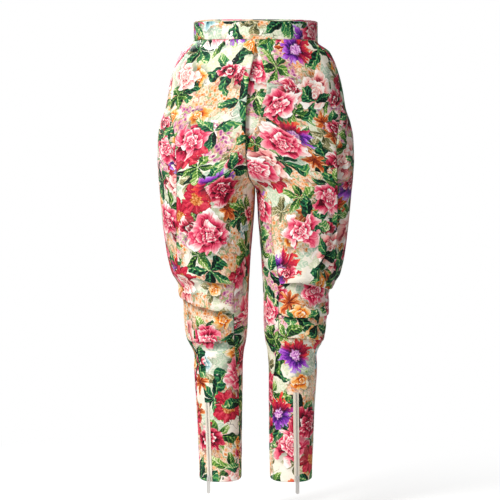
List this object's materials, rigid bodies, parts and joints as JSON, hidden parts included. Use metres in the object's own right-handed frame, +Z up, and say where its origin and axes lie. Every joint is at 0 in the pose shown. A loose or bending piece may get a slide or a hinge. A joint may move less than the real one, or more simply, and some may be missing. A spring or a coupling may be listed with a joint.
{
  "type": "jodhpurs",
  "caption": "High-waisted riding-cut trousers with full winged thighs, tucked knees, a narrow shin with an exposed hem zip on each leg, and a concealed back zip.",
  "frame": {"origin": "middle of the waist opening, at mid-height of the waistband", "axes": "+Z up, -Y to the wearer's front, +X to the wearer's left"},
  "size_m": [0.4124, 0.2496, 0.9824],
  "materials": {
    "printed_cloth": "soft sateen with an all-over floral print",
    "zip_tape": "matt woven tape",
    "zip_metal": "polished nickel"
  },
  "bodies": {
    "garment": {"front_left": "printed_cloth", "front_right": "printed_cloth", "back_left": "printed_cloth", "back_right": "printed_cloth", "front_pleat": "printed_cloth", "waistband_front": "printed_cloth", "waistband_back_left": "printed_cloth", "waistband_back_right": "printed_cloth", "zip_left_tape_inner": "zip_tape", "zip_left_tape_outer": "zip_tape", "zip_right_tape_inner": "zip_tape", "zip_right_tape_outer": "zip_tape", "zip_left_chain": "zip_metal", "zip_right_chain": "zip_metal", "zip_left_slider": "zip_metal", "zip_right_slider": "zip_metal", "back_zip_slider": "zip_metal"},
    "pull_left": {"zip_left_pull": "zip_metal"},
    "pull_right": {"zip_right_pull": "zip_metal"},
    "pull_back": {"back_zip_pull": "zip_metal"}
  },
  "joints": [
    {"name": "left_pull_swing", "type": "hinge", "parent": "garment", "child": "pull_left", "pos_m": [0.08628, -0.04841, -0.929], "axis": [0.9703, 0.2417, 0], "range_deg": [-170, 6]},
    {"name": "right_pull_swing", "type": "hinge", "parent": "garment", "child": "pull_right", "pos_m": [-0.09805, -0.04385, -0.929], "axis": [0.8804, -0.4743, 0], "range_deg": [-170, 6]},
    {"name": "back_pull_swing", "type": "hinge", "parent": "garment", "child": "pull_back", "pos_m": [0, 0.09575, 0.0134], "axis": [-1, 0, 0], "range_deg": [-170, 6]}
  ]
}
